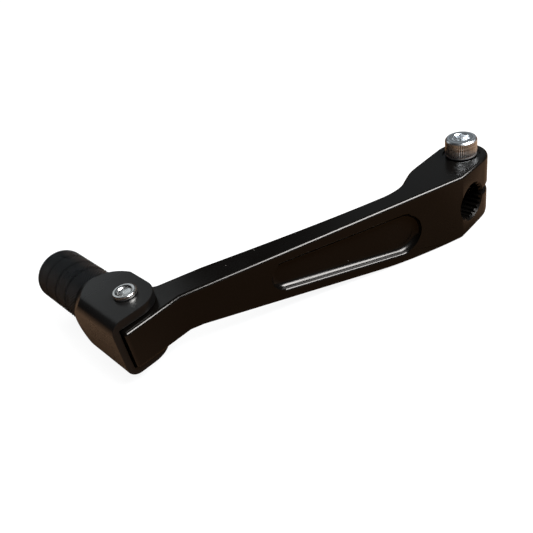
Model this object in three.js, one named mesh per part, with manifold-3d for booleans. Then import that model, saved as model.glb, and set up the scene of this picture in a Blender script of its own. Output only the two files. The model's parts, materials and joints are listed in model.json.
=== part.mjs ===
// Motorcycle gear shift lever with a splined clamp boss and a spring-returned folding tip.
// Units are millimetres. The origin is the centre of the splined bore on the boss's inner face.
// +Y runs along the bore to the outer side, where the toe peg points. +Z is up, along the pinch bolt.
// The arm runs towards -X.

import * as THREE from 'three';
import { mergeVertices } from 'three/addons/utils/BufferGeometryUtils.js';
import Module from 'manifold-3d';

const wasm = await Module();
wasm.setup();

// ---- Driving dimensions ----

const GAP = 0.3; // clearance between pieces that touch on the real lever
const BEYOND = 60; // reach of a cutting shape past the body that it cuts
const ROUND_SEGMENTS = 48;
const CURVE_SEGMENTS = 20;
const THREAD_END_EASE = 0.6;

// Clamp boss
const BOSS_THICKNESS = 17;
const BOSS_BOTTOM = -10.2; // where the free end starts to round up
const BOSS_NEAR_CORNER_X = -5.3;
const BOSS_END_CENTRE_X = 6.95; // centre of the free end, seen from above
const BOSS_END_RISE = { startX: 5, bendX: 14.6, bendZ: -9.2, topZ: -3.9 };
const BOSS_BELLY = { startX: -14, bendX: -6 }; // level until startX, then curving up
// Outer shoulder as [x, distance in from the outer face]: a curve, a straight and a curve into the arm
const SHOULDER = [[-6, 0], [-9, 0], [-11.5, 0.8], [-15.5, 2.1], [-19, 3.6]];
const SPLINE_TEETH = 24;
const SPLINE_ROOT_RADIUS = 6.2;
const SPLINE_TIP_RADIUS = 5.65;
const SPLINE_CORNERS = { tipEnd: 0.3, rootStart: 0.5, rootEnd: 0.8 }; // shares of a tooth's pitch
const SLIT_Z = 0.4;
const SLIT_WIDTH = 1.6;

// Pinch bolt, M6 x 20 with a 5 mm hexagon socket
const BOLT_X = 7.5;
const BOLT_SEAT_Z = 11.2;
const BOLT_LENGTH = 20;
const BOLT_SHANK_RADIUS = 2.95;
const BOLT_HEAD_RADIUS = 5;
const BOLT_HEAD_HEIGHT = 6;
const BOLT_HEAD_EASE = 0.6;
const BOLT_FOOT_EASE = 0.2;
const BOLT_SOCKET_ACROSS_FLATS = 5;
const BOLT_SOCKET_DEPTH = 3;
const SPOTFACE_RADIUS = 5.9;

// Arm
// Thickness at distances along the arm from the boss corner: the hollow bends the outer line
const ARM_ROOT = { along: 24, thickness: 7.2 };
const ARM_HOLLOW = { along: 46, thickness: 7 };
const ARM_SWELL = { along: 84, thickness: 9.7 };
const ARM_TIP = { along: 92, thickness: 9.65 };
const ARM_ANGLE = THREE.MathUtils.degToRad(20.8);
const ARM_BEVEL = 1;
const TOP_Z = 11.6; // height of the top face over the bore
const TOP_SLOPE = 0.0165;
const UNDERSIDE_SLOPE = -0.1404;
const UNDERSIDE_FOLD_X = -88.8;
const BELLY_X = -34; // where the straight underside starts to curve level
const BELLY_Z = -11.36;

// Tapered pocket in each side of the arm, at distances along the arm from the boss corner
const POCKET_DEPTH = 2.2;
const POCKET_EASE = 1.1;
const POCKET_WIDE_END = { along: 22.4, z: -0.6, radius: 6.8 };
const POCKET_NARROW_END = { along: 62.3, z: 2.4, radius: 4.6 };

// Pivot of the folding tip
const PIVOT_X = -102.6;
const PIVOT_Y = 43.7;
const EYE_RADIUS = 8.3;
const EYE_FILLET = 3;
const EYE_BOTTOM = -2.6;
const EYE_NEAR_REACH = 10.55; // from the pivot to the inner flat of the eye
const PIN_RADIUS = 2.5;
const PIN_HEAD_RADIUS = 3.4;
const PIN_HEAD_HEIGHT = 1.1;
const PIN_HEAD_EASE = 0.3;
const PIN_RECESS_RADIUS = 2.25;
const PIN_RECESS_FLOOR_RADIUS = 1.85;
const PIN_RECESS_DEPTH = 0.7;
const RUNNING_CLEARANCE = 0.1;
const BUSHING_OUTER_RADIUS = 3.6;
const BUSHING_SET_BACK = 0.1;

// Return spring in its chamber in the eye
const CHAMBER_RADIUS = 5.2;
const CHAMBER_TOP = 2.9;
const SPRING_COIL_RADIUS = 3.8;
const SPRING_WIRE_RADIUS = 0.55;
const SPRING_TURNS = 3.5;
const SPRING_POINTS_PER_TURN = 16;
const SPRING_SWEEP_STEPS = 90;
const SPRING_WIRE_SIDES = 8;
const SPRING_BOTTOM = -1.9;
const SPRING_TOP = 2.1;
const SPRING_LEG_LENGTH = 5.3;
const SPRING_LEG_SLOT_WIDTH = 1.8;
const SPRING_FOOT_HOLE_RADIUS = 1.2;

// Tip bracket: a block with a slot for the eye and a turned rear end for the toe peg
const BRACKET_TOP = 13.1;
const BRACKET_PLATE = 2.7;
const BRACKET_SLOT_HEIGHT = 13.4;
const BRACKET_WEB = 2.2;
const BRACKET_RIGHT_REACH = 7.1;
const BRACKET_FRONT_REACH = 8.7;
const BRACKET_SLOT_REACH = 8.9;
const BRACKET_BACK_REACH = 17.1;
const BRACKET_EDGE_RADIUS = 3.6;
const BRACKET_UPPER_CORNER_RADIUS = 8;
const BRACKET_LOWER_CORNER_RADIUS = 9.6;
const BRACKET_LOWER_EASE = 0.15;
// Turned shoulder at its rear, as [radius, distance from the pivot]: start, bend and end
const BRACKET_SHOULDER = [[12.7, 6.9], [11.7, 12.4], [8.8, 16.3]];

// Toe peg, turned and knurled, with its screw
const PEG_OFFSET_X = -1.2;
const PEG_RADIUS = 8.4;
const PEG_SPIGOT_RADIUS = 6.3;
const PEG_START = 18.1;
const PEG_BAND_PITCH = 6.2;
const PEG_BANDS = 4;
const PEG_END = 42.6;
const PEG_END_EASE = 0.9;
const PEG_GROOVE_WIDTH = 0.6;
const PEG_GROOVE_DEPTH = 0.6;
const PEG_BAND_EASE = 0.3;
const SCREW_RADIUS = 2.95;
const SCREW_HEAD_RADIUS = 5.6;
const SCREW_HEAD_SUNK = 0.6;
const SCREW_LENGTH = 30;
const SCREW_SOCKET_ACROSS_FLATS = 4;
const SCREW_SOCKET_DEPTH = 2.4;

// ---- Derived places ----

const BOLT_Y = BOSS_THICKNESS / 2;
const BOSS_END_RADIUS = BOSS_THICKNESS / 2;
const SLOT_TOP = BRACKET_TOP - BRACKET_PLATE;
const SLOT_BOTTOM = SLOT_TOP - BRACKET_SLOT_HEIGHT;
const BRACKET_BOTTOM = SLOT_BOTTOM - BRACKET_PLATE;
const BRACKET_MIDDLE = (BRACKET_TOP + BRACKET_BOTTOM) / 2;
const WEB_INNER_X = -EYE_RADIUS - GAP;
const WEB_OUTER_X = WEB_INNER_X - BRACKET_WEB;
const NEAR_Y = PIVOT_Y - EYE_NEAR_REACH;
const ARM_ALONG = new THREE.Vector2(-Math.cos(ARM_ANGLE), Math.sin(ARM_ANGLE));
const ARM_ACROSS = new THREE.Vector2(Math.sin(ARM_ANGLE), Math.cos(ARM_ANGLE));
const ARM_START = new THREE.Vector2(BOSS_NEAR_CORNER_X, 0);
const PAST_TIP_X = PIVOT_X - BEYOND;

// ---- Materials ----

const black = () => new THREE.MeshStandardMaterial({ color: 0x242322, roughness: 0.42, metalness: 0.6 });
const zinc = () => new THREE.MeshStandardMaterial({ color: 0xc9c6c0, roughness: 0.28, metalness: 1 });
const bronze = () => new THREE.MeshStandardMaterial({ color: 0x9c7a45, roughness: 0.4, metalness: 1 });
const springSteel = () => new THREE.MeshStandardMaterial({ color: 0x77777a, roughness: 0.35, metalness: 1 });

// ---- Solids ----

/** A manifold solid with the shape of a closed three.js geometry. */
function solid(geometry) {
  const bare = geometry.index ? geometry.toNonIndexed() : geometry.clone();
  bare.deleteAttribute('normal');
  bare.deleteAttribute('uv');
  const merged = mergeVertices(bare);
  return new wasm.Manifold(new wasm.Mesh({
    numProp: 3,
    vertProperties: new Float32Array(merged.attributes.position.array),
    triVerts: new Uint32Array(merged.index.array),
  }));
}

/** A named mesh made from a manifold solid. */
function mesh(name, body, material) {
  const { vertProperties, triVerts } = body.getMesh();
  const geometry = new THREE.BufferGeometry();
  geometry.setAttribute('position', new THREE.BufferAttribute(vertProperties, 3));
  geometry.setIndex(new THREE.BufferAttribute(triVerts, 1));
  geometry.computeVertexNormals();
  const result = new THREE.Mesh(geometry, material);
  result.name = name;
  return result;
}

/** A shape extruded from low to high along Z, with its two rims bevelled when bevel is over 0. */
function prism(shape, low, high, bevel = 0, bevelSegments = 1) {
  const geometry = new THREE.ExtrudeGeometry(shape, {
    depth: high - low - 2 * bevel,
    curveSegments: CURVE_SEGMENTS,
    bevelEnabled: bevel > 0,
    bevelThickness: bevel,
    bevelSize: bevel,
    bevelOffset: -bevel,
    bevelSegments,
  });
  return geometry.translate(0, 0, low + bevel);
}

/** A shape drawn in X and Z, extruded from low to high along Y. */
function sidePrism(shape, low, high) {
  return prism(shape, -high, -low).rotateX(Math.PI / 2);
}

/** A geometry whose height rises by slope for each millimetre along X, and by rise everywhere. */
function sheared(geometry, slope, rise) {
  const shear = new THREE.Matrix4().set(1, 0, 0, 0, 0, 1, 0, 0, slope, 0, 1, rise, 0, 0, 0, 1);
  return geometry.applyMatrix4(shear);
}

/** An upright cylinder between two heights. */
function rod(radius, low, high, x = 0, y = 0, segments = ROUND_SEGMENTS) {
  const geometry = new THREE.CylinderGeometry(radius, radius, high - low, segments);
  return geometry.rotateX(Math.PI / 2).translate(x, y, (low + high) / 2);
}

/** A box between two corners. */
function block(low, high) {
  const size = high.map((value, axis) => value - low[axis]);
  const middle = high.map((value, axis) => (value + low[axis]) / 2);
  return new THREE.BoxGeometry(...size).translate(...middle);
}

/** A body of revolution about Z, from a profile of [radius, height] pairs. */
function turned(profile, segments = ROUND_SEGMENTS) {
  const points = profile.map(([radius, height]) => new THREE.Vector2(radius, height));
  return new THREE.LatheGeometry(points, segments).rotateX(Math.PI / 2);
}

/** A hexagonal prism on Z for a socket. */
function hexagon(acrossFlats, low, high) {
  return rod(acrossFlats / Math.sqrt(3), low, high, 0, 0, 6);
}

// ---- Lever arm ----

/** A point on the arm's inner line, or to its outer side, seen from above. */
function armPoint(along, across = 0) {
  return ARM_START.clone().addScaledVector(ARM_ALONG, along).addScaledVector(ARM_ACROSS, across);
}

/** Centre and angles of the fillet where the arm's outer line meets the round eye. */
function eyeFillet() {
  const root = armPoint(ARM_SWELL.along, ARM_SWELL.thickness);
  const along = armPoint(ARM_TIP.along, ARM_TIP.thickness).sub(root).normalize();
  const across = new THREE.Vector2(along.y, -along.x);
  const pivot = new THREE.Vector2(PIVOT_X, PIVOT_Y);
  const pivotAlong = pivot.clone().sub(root).dot(along);
  const rise = EYE_FILLET - pivot.clone().sub(root).dot(across);
  const reach = Math.sqrt((EYE_RADIUS + EYE_FILLET) ** 2 - rise ** 2);
  const centre = root.addScaledVector(along, pivotAlong - reach).addScaledVector(across, EYE_FILLET);
  return {
    centre,
    lineAngle: across.clone().negate().angle(),
    eyeAngle: centre.clone().sub(pivot).angle(),
  };
}

/** The arm, boss and eye seen from above. */
function leverPlan() {
  const fillet = eyeFillet();
  const [root, hollow, swell] = [ARM_ROOT, ARM_HOLLOW, ARM_SWELL]
    .map(({ along, thickness }) => armPoint(along, thickness));
  const shoulder = SHOULDER.map(([x, inward]) => [x, BOSS_THICKNESS - inward]);
  const shape = new THREE.Shape();
  shape.moveTo(BOSS_END_CENTRE_X, 0);
  shape.absarc(BOSS_END_CENTRE_X, BOSS_END_RADIUS, BOSS_END_RADIUS, -Math.PI / 2, Math.PI / 2, false);
  shape.lineTo(...shoulder[0]);
  shape.quadraticCurveTo(...shoulder[1], ...shoulder[2]);
  shape.lineTo(...shoulder[3]);
  shape.quadraticCurveTo(...shoulder[4], root.x, root.y);
  shape.quadraticCurveTo(hollow.x, hollow.y, swell.x, swell.y);
  shape.absarc(fillet.centre.x, fillet.centre.y, EYE_FILLET, fillet.lineAngle,
    fillet.eyeAngle + Math.PI, true);
  shape.absarc(PIVOT_X, PIVOT_Y, EYE_RADIUS, fillet.eyeAngle, Math.PI, false);
  shape.lineTo(PIVOT_X - EYE_RADIUS, NEAR_Y);
  shape.lineTo(BOSS_NEAR_CORNER_X - NEAR_Y / Math.tan(ARM_ANGLE), NEAR_Y);
  shape.lineTo(BOSS_NEAR_CORNER_X, 0);
  shape.closePath();
  return shape;
}

/** The rounded underside of the boss and its free end, seen from the side. */
function bossSide() {
  const endX = BOSS_END_CENTRE_X + BOSS_END_RADIUS + ARM_BEVEL;
  const startZ = EYE_BOTTOM + UNDERSIDE_SLOPE * (BELLY_X - UNDERSIDE_FOLD_X);
  const levelX = BELLY_X + (BELLY_Z - startZ) / UNDERSIDE_SLOPE;
  const rise = BOSS_END_RISE;
  const shape = new THREE.Shape();
  shape.moveTo(PAST_TIP_X, -BEYOND);
  shape.lineTo(BELLY_X, -BEYOND);
  shape.lineTo(BELLY_X, startZ);
  shape.quadraticCurveTo(levelX, BELLY_Z, BOSS_BELLY.startX, BELLY_Z);
  shape.quadraticCurveTo(BOSS_BELLY.bendX, BELLY_Z, rise.startX, BOSS_BOTTOM);
  shape.quadraticCurveTo(rise.bendX, rise.bendZ, endX, rise.topZ);
  shape.lineTo(endX, BEYOND);
  shape.lineTo(PAST_TIP_X, BEYOND);
  shape.closePath();
  return shape;
}

/** A pocket's tapered outline, drawn along the arm and in height. */
function pocketOutline() {
  const wide = POCKET_WIDE_END;
  const narrow = POCKET_NARROW_END;
  const span = Math.hypot(narrow.along - wide.along, narrow.z - wide.z);
  const lean = Math.atan2(narrow.z - wide.z, narrow.along - wide.along);
  const spread = Math.acos((wide.radius - narrow.radius) / span);
  const shape = new THREE.Shape();
  shape.absarc(wide.along, wide.z, wide.radius, lean + spread, lean - spread + 2 * Math.PI, false);
  shape.absarc(narrow.along, narrow.z, narrow.radius, lean - spread, lean + spread, false);
  shape.closePath();
  return shape;
}

/** One pocket's cutter, whose floor lies at a distance across the arm from its inner face. */
function pocketCutter(floor, outward) {
  const length = 4 * POCKET_DEPTH;
  const low = outward ? floor : floor - length;
  const geometry = prism(pocketOutline(), low, low + length, POCKET_EASE, 3);
  const basis = new THREE.Matrix4().makeBasis(
    new THREE.Vector3(ARM_ALONG.x, ARM_ALONG.y, 0),
    new THREE.Vector3(0, 0, 1),
    new THREE.Vector3(ARM_ACROSS.x, ARM_ACROSS.y, 0),
  );
  return geometry.applyMatrix4(basis.setPosition(ARM_START.x, ARM_START.y, 0));
}

/** The splined bore's cutter, a ring of straight-sided teeth along Y. */
function splineCutter() {
  const pitch = (2 * Math.PI) / SPLINE_TEETH;
  const corner = (turn, radius) => new THREE.Vector2(
    radius * Math.cos(turn * pitch), radius * Math.sin(turn * pitch));
  const points = [];
  for (let tooth = 0; tooth < SPLINE_TEETH; tooth += 1) {
    points.push(corner(tooth, SPLINE_TIP_RADIUS));
    points.push(corner(tooth + SPLINE_CORNERS.tipEnd, SPLINE_TIP_RADIUS));
    points.push(corner(tooth + SPLINE_CORNERS.rootStart, SPLINE_ROOT_RADIUS));
    points.push(corner(tooth + SPLINE_CORNERS.rootEnd, SPLINE_ROOT_RADIUS));
  }
  return sidePrism(new THREE.Shape(points), -BEYOND, BEYOND);
}

/** The lever's outer body: the plan bevelled along its top and its stepped underside. */
function leverBody() {
  const plan = leverPlan();
  const top = solid(sheared(prism(plan, -BEYOND, 0, ARM_BEVEL), TOP_SLOPE, TOP_Z));
  const eyeUnderside = solid(prism(plan, EYE_BOTTOM, BEYOND, ARM_BEVEL));
  const rise = EYE_BOTTOM - UNDERSIDE_SLOPE * UNDERSIDE_FOLD_X;
  const armUnderside = solid(sheared(prism(plan, 0, BEYOND, ARM_BEVEL), UNDERSIDE_SLOPE, rise));
  const side = solid(sidePrism(bossSide(), -BEYOND, 2 * BEYOND));
  return top.intersect(eyeUnderside.add(armUnderside)).intersect(side);
}

function makeLeverArm() {
  const legY = PIVOT_Y + SPRING_COIL_RADIUS;
  const legRoom = SPRING_LEG_SLOT_WIDTH / 2;
  const springSlot = block(
    [PIVOT_X, legY - legRoom, SPRING_TOP - legRoom],
    [PIVOT_X + SPRING_LEG_LENGTH + GAP, legY + legRoom, CHAMBER_TOP],
  );
  const cutters = [
    splineCutter(),
    block([0, -BEYOND, SLIT_Z - SLIT_WIDTH / 2], [BEYOND, BEYOND, SLIT_Z + SLIT_WIDTH / 2]),
    rod(BOLT_SHANK_RADIUS + GAP, -BEYOND, BEYOND, BOLT_X, BOLT_Y),
    rod(SPOTFACE_RADIUS, BOLT_SEAT_Z, BEYOND, BOLT_X, BOLT_Y),
    pocketCutter(POCKET_DEPTH, false),
    pocketCutter(ARM_ROOT.thickness - POCKET_DEPTH, true),
    rod(BUSHING_OUTER_RADIUS + GAP, -BEYOND, BEYOND, PIVOT_X, PIVOT_Y),
    rod(CHAMBER_RADIUS, -BEYOND, CHAMBER_TOP, PIVOT_X, PIVOT_Y),
    springSlot,
  ];
  const body = cutters.reduce((rest, cutter) => rest.subtract(solid(cutter)), leverBody());
  return mesh('lever_arm', body, black());
}

// ---- Pinch bolt ----

function makePinchBolt() {
  const top = BOLT_HEAD_HEIGHT;
  const body = solid(turned([
    [0, -BOLT_LENGTH],
    [BOLT_SHANK_RADIUS - THREAD_END_EASE, -BOLT_LENGTH],
    [BOLT_SHANK_RADIUS, THREAD_END_EASE - BOLT_LENGTH],
    [BOLT_SHANK_RADIUS, 0],
    [BOLT_HEAD_RADIUS - BOLT_FOOT_EASE, 0],
    [BOLT_HEAD_RADIUS, BOLT_FOOT_EASE],
    [BOLT_HEAD_RADIUS, top - BOLT_HEAD_EASE],
    [BOLT_HEAD_RADIUS - BOLT_HEAD_EASE, top],
    [0, top],
  ]));
  const socket = hexagon(BOLT_SOCKET_ACROSS_FLATS, top - BOLT_SOCKET_DEPTH, top + GAP);
  const bolt = mesh('pinch_bolt', body.subtract(solid(socket)), zinc());
  bolt.position.set(BOLT_X, BOLT_Y, BOLT_SEAT_Z + GAP);
  return bolt;
}

// ---- Pivot pieces, drawn about the pivot axis ----

/** The bracket's outer block with rounded left edges, before its slot is cut. */
function bracketBlock() {
  const radius = BRACKET_EDGE_RADIUS;
  const side = new THREE.Shape();
  side.moveTo(BRACKET_RIGHT_REACH, BRACKET_BOTTOM);
  side.lineTo(BRACKET_RIGHT_REACH, BRACKET_TOP);
  side.absarc(WEB_OUTER_X + radius, BRACKET_TOP - radius, radius, Math.PI / 2, Math.PI, false);
  side.absarc(WEB_OUTER_X + radius, BRACKET_BOTTOM + radius, radius, Math.PI, 1.5 * Math.PI, false);
  side.closePath();
  return solid(sidePrism(side, -BRACKET_FRONT_REACH, BRACKET_BACK_REACH));
}

/** The bracket seen from above between two heights, with its free corner rounded. */
function bracketPlan(radius, low, high) {
  const shape = new THREE.Shape();
  shape.moveTo(BRACKET_RIGHT_REACH - radius, -BRACKET_FRONT_REACH);
  shape.absarc(BRACKET_RIGHT_REACH - radius, radius - BRACKET_FRONT_REACH, radius, -Math.PI / 2, 0, false);
  shape.lineTo(BRACKET_RIGHT_REACH, BEYOND);
  shape.lineTo(-BEYOND, BEYOND);
  shape.lineTo(-BEYOND, -BRACKET_FRONT_REACH);
  shape.closePath();
  return solid(prism(shape, low, high, BRACKET_LOWER_EASE));
}

/** The turned envelope that brings the bracket's rear down to the toe peg's size. */
function bracketTurning() {
  const [start, bend, end] = BRACKET_SHOULDER.map((place) => new THREE.Vector2(...place));
  const shoulder = new THREE.QuadraticBezierCurve(start, bend, end);
  const profile = shoulder.getPoints(CURVE_SEGMENTS / 2).map((point) => [point.x, point.y]);
  profile.unshift([0, -BEYOND], [start.x, -BEYOND]);
  profile.push([end.x, BRACKET_BACK_REACH], [0, BRACKET_BACK_REACH]);
  return solid(alongPeg(turned(profile, ROUND_SEGMENTS + 16)));
}

/** Turns a body of revolution about Z to lie along the toe peg's axis, with heights from the pivot. */
function alongPeg(geometry) {
  return geometry.rotateX(-Math.PI / 2).translate(PEG_OFFSET_X, 0, BRACKET_MIDDLE);
}

function makeTipBracket() {
  const footAngle = springFootAngle();
  const cutters = [
    block([WEB_INNER_X, -BEYOND, SLOT_BOTTOM], [BEYOND, BRACKET_SLOT_REACH, SLOT_TOP]),
    rod(PIN_RADIUS + GAP, -BEYOND, BEYOND),
    rod(SPRING_FOOT_HOLE_RADIUS, -BEYOND, 0, SPRING_COIL_RADIUS * Math.cos(footAngle),
      SPRING_COIL_RADIUS * Math.sin(footAngle), 16),
    alongPeg(rod(SCREW_RADIUS + GAP, 0, BEYOND)),
  ];
  const upper = bracketPlan(BRACKET_UPPER_CORNER_RADIUS, BRACKET_MIDDLE, BEYOND);
  const lower = bracketPlan(BRACKET_LOWER_CORNER_RADIUS, BRACKET_BOTTOM, BRACKET_MIDDLE + BRACKET_PLATE);
  const outer = bracketBlock().intersect(upper.add(lower)).intersect(bracketTurning());
  const body = cutters.reduce((rest, cutter) => rest.subtract(solid(cutter)), outer);
  return mesh('tip_bracket', body, black());
}

function makePivotPin() {
  const low = BRACKET_BOTTOM - GAP;
  const high = BRACKET_TOP + GAP;
  const top = high + PIN_HEAD_HEIGHT;
  const bottom = low - PIN_HEAD_HEIGHT;
  const body = solid(turned([
    [0, low],
    [PIN_RECESS_RADIUS, bottom],
    [PIN_HEAD_RADIUS - PIN_HEAD_EASE, bottom],
    [PIN_HEAD_RADIUS, bottom + PIN_HEAD_EASE],
    [PIN_HEAD_RADIUS, low],
    [PIN_RADIUS, low],
    [PIN_RADIUS, high],
    [PIN_HEAD_RADIUS, high],
    [PIN_HEAD_RADIUS, top - PIN_HEAD_EASE],
    [PIN_HEAD_RADIUS - PIN_HEAD_EASE, top],
    [PIN_RECESS_RADIUS, top],
    [PIN_RECESS_FLOOR_RADIUS, top - PIN_RECESS_DEPTH],
    [0, top - PIN_RECESS_DEPTH],
  ]));
  return mesh('pivot_pin', body, zinc());
}

function makePivotBushing() {
  const inner = PIN_RADIUS + RUNNING_CLEARANCE;
  const low = CHAMBER_TOP;
  const high = TOP_Z + TOP_SLOPE * PIVOT_X - BUSHING_SET_BACK;
  const body = solid(turned([
    [inner, low], [BUSHING_OUTER_RADIUS, low], [BUSHING_OUTER_RADIUS, high], [inner, high], [inner, low],
  ]));
  return mesh('pivot_bushing', body, bronze());
}

/** Where the coil's lower end turns down into the bracket, as an angle about the pivot. */
function springFootAngle() {
  return Math.PI / 2 + 2 * Math.PI * SPRING_TURNS;
}

/** The return spring's wire: a foot in the bracket, the coil, and a leg held in the lever. */
function springPath() {
  const steps = Math.round(SPRING_TURNS * SPRING_POINTS_PER_TURN);
  const onCoil = (angle, height) => new THREE.Vector3(
    SPRING_COIL_RADIUS * Math.cos(angle), SPRING_COIL_RADIUS * Math.sin(angle), height);
  const points = [
    onCoil(springFootAngle(), BRACKET_BOTTOM + GAP),
    onCoil(springFootAngle(), SLOT_BOTTOM - GAP),
  ];
  for (let step = 1; step <= steps; step += 1) {
    const turn = step / steps;
    const angle = springFootAngle() - turn * 2 * Math.PI * SPRING_TURNS;
    points.push(onCoil(angle, SPRING_BOTTOM + turn * (SPRING_TOP - SPRING_BOTTOM)));
  }
  points.push(new THREE.Vector3(SPRING_LEG_LENGTH, SPRING_COIL_RADIUS, SPRING_TOP));
  return new THREE.CatmullRomCurve3(points, false, 'centripetal');
}

function makeReturnSpring() {
  const section = new THREE.Shape().absarc(0, 0, SPRING_WIRE_RADIUS, 0, 2 * Math.PI, false);
  const geometry = new THREE.ExtrudeGeometry(section, {
    steps: SPRING_SWEEP_STEPS,
    curveSegments: SPRING_WIRE_SIDES,
    extrudePath: springPath(),
  });
  return mesh('return_spring', solid(geometry), springSteel());
}

// ---- Toe peg, drawn along its own axis ----

function makeToePeg() {
  const bore = SCREW_RADIUS + GAP;
  const mouth = SCREW_HEAD_RADIUS + GAP;
  const sink = PEG_END - SCREW_HEAD_SUNK;
  const profile = [[bore, BRACKET_BACK_REACH + GAP], [PEG_SPIGOT_RADIUS, BRACKET_BACK_REACH + GAP]];
  for (let band = 0; band < PEG_BANDS; band += 1) {
    const last = band === PEG_BANDS - 1;
    const low = PEG_START + band * PEG_BAND_PITCH;
    const high = last ? PEG_END : low + PEG_BAND_PITCH - PEG_GROOVE_WIDTH;
    const floor = band === 0 ? PEG_SPIGOT_RADIUS : PEG_RADIUS - PEG_GROOVE_DEPTH;
    const ease = last ? PEG_END_EASE : PEG_BAND_EASE;
    profile.push([floor, low], [PEG_RADIUS - PEG_BAND_EASE, low], [PEG_RADIUS, low + PEG_BAND_EASE]);
    profile.push([PEG_RADIUS, high - ease], [PEG_RADIUS - ease, high]);
    if (!last) profile.push([PEG_RADIUS - PEG_GROOVE_DEPTH, high]);
  }
  profile.push([mouth, PEG_END], [mouth, sink], [bore, sink + bore - mouth], profile[0]);
  return mesh('toe_peg', solid(alongPeg(turned(profile))), black());
}

function makePegScrew() {
  const top = PEG_END - SCREW_HEAD_SUNK;
  const low = top - SCREW_LENGTH;
  const body = solid(turned([
    [0, low],
    [SCREW_RADIUS - THREAD_END_EASE, low],
    [SCREW_RADIUS, low + THREAD_END_EASE],
    [SCREW_RADIUS, top - SCREW_HEAD_RADIUS + SCREW_RADIUS],
    [SCREW_HEAD_RADIUS, top],
    [0, top],
  ]));
  const socket = hexagon(SCREW_SOCKET_ACROSS_FLATS, top - SCREW_SOCKET_DEPTH, top + GAP);
  const screw = mesh('peg_screw', body.subtract(solid(socket)), zinc());
  screw.geometry = alongPeg(screw.geometry);
  return screw;
}

// ---- Assembly ----

function buildLever() {
  const lever = new THREE.Group();
  lever.add(makeLeverArm(), makePinchBolt());

  const tip = new THREE.Group();
  tip.position.set(PIVOT_X, PIVOT_Y, 0);
  tip.add(makeTipBracket(), makePivotPin(), makePivotBushing(), makeReturnSpring(), makeToePeg(),
    makePegScrew());
  lever.add(tip);
  return lever;
}

export default buildLever();
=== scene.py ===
"""Visual model of a motorcycle gear shift lever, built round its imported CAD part.

The origin is the centre of the splined bore on the clamp boss's inner face. +Y runs along the bore to
the outer side, where the toe peg points, and +Z is up, along the pinch bolt. Lengths are in metres.
"""

import json
import logging
import math
from dataclasses import dataclass, field
from enum import Enum
from typing import Callable, Sequence

import bmesh
import bpy
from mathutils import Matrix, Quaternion, Vector


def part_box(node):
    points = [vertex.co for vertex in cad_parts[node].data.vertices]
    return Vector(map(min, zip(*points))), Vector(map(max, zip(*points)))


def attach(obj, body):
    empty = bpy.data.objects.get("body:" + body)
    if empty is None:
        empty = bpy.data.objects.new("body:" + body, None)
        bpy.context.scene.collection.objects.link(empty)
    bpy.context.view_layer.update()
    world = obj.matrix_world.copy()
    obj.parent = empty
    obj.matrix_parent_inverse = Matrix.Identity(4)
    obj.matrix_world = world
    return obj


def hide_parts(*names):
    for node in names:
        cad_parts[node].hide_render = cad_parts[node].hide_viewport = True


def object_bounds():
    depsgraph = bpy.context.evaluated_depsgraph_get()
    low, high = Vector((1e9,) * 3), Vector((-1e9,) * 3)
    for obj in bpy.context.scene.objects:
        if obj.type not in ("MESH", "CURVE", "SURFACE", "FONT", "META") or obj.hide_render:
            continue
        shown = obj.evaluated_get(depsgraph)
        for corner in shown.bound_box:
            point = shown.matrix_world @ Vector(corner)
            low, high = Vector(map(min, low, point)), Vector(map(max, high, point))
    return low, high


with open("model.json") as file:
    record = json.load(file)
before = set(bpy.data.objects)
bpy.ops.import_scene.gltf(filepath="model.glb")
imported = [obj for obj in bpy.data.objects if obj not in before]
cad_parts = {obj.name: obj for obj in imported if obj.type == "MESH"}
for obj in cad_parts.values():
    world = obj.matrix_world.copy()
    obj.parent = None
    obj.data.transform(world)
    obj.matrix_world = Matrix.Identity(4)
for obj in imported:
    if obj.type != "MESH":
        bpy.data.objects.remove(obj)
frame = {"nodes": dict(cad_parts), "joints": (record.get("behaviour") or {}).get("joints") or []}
CAD_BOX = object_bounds()

LOG = logging.getLogger("gear_shift_lever")
Point = tuple[float, float]  # a point of a flat outline
Station = tuple[float, float]  # a radius and a height on a turned profile
Place = tuple[float, float, float]
Colour = tuple[float, float, float]
Node = bpy.types.Node
Socket = bpy.types.NodeSocket
Edge = bmesh.types.BMEdge
Face = bmesh.types.BMFace

PIVOT = Vector(frame["joints"][0]["pos_m"])  # where the tip folds
MM = 0.001
BEYOND = 0.06  # reach of a cutting tool past the piece that it cuts
NEAR = 1e-6  # two places closer than this are the same
SMOOTH_ANGLE = math.radians(32)
SHARP_ANGLE = math.radians(40)
EDGE = 1  # material index of a piece's rubbed edges, after its faces' 0
THREAD_DEPTH = 0.0007  # from a threaded shank's crests to its flat end
SOCKET_MOUTH = 0.56  # radius of a hexagon socket's eased mouth, in widths across its flats
SOCKET_EASE = 0.0002


class Part(Enum):
    """What a selection picks, as the operator's name and the mesh's list."""

    VERT = "verts"
    EDGE = "edges"
    FACE = "faces"


class Axis(Enum):
    """Where a turned body's own Z points, as a rotation."""

    UP = (0.0, 0.0, 0.0)
    OUTWARD = (-math.pi / 2, 0.0, 0.0)


class Cut(Enum):
    """How a tool meets the workpiece."""

    AWAY = "DIFFERENCE"
    COMMON = "INTERSECT"


# ---- Outlines ----


def arc(centre: Point, radius: float, start: float, end: float, steps: int) -> list[Point]:
    """Points along a circular arc.

    Args:
        centre: The arc's centre.
        radius: Its radius.
        start: The first angle, in radians.
        end: The last angle, in radians.
        steps: How many straight pieces it has.

    Returns:
        The points, ends included.
    """
    angles = [start + (end - start) * i / steps for i in range(steps + 1)]
    return [(centre[0] + radius * math.cos(a), centre[1] + radius * math.sin(a)) for a in angles]


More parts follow.
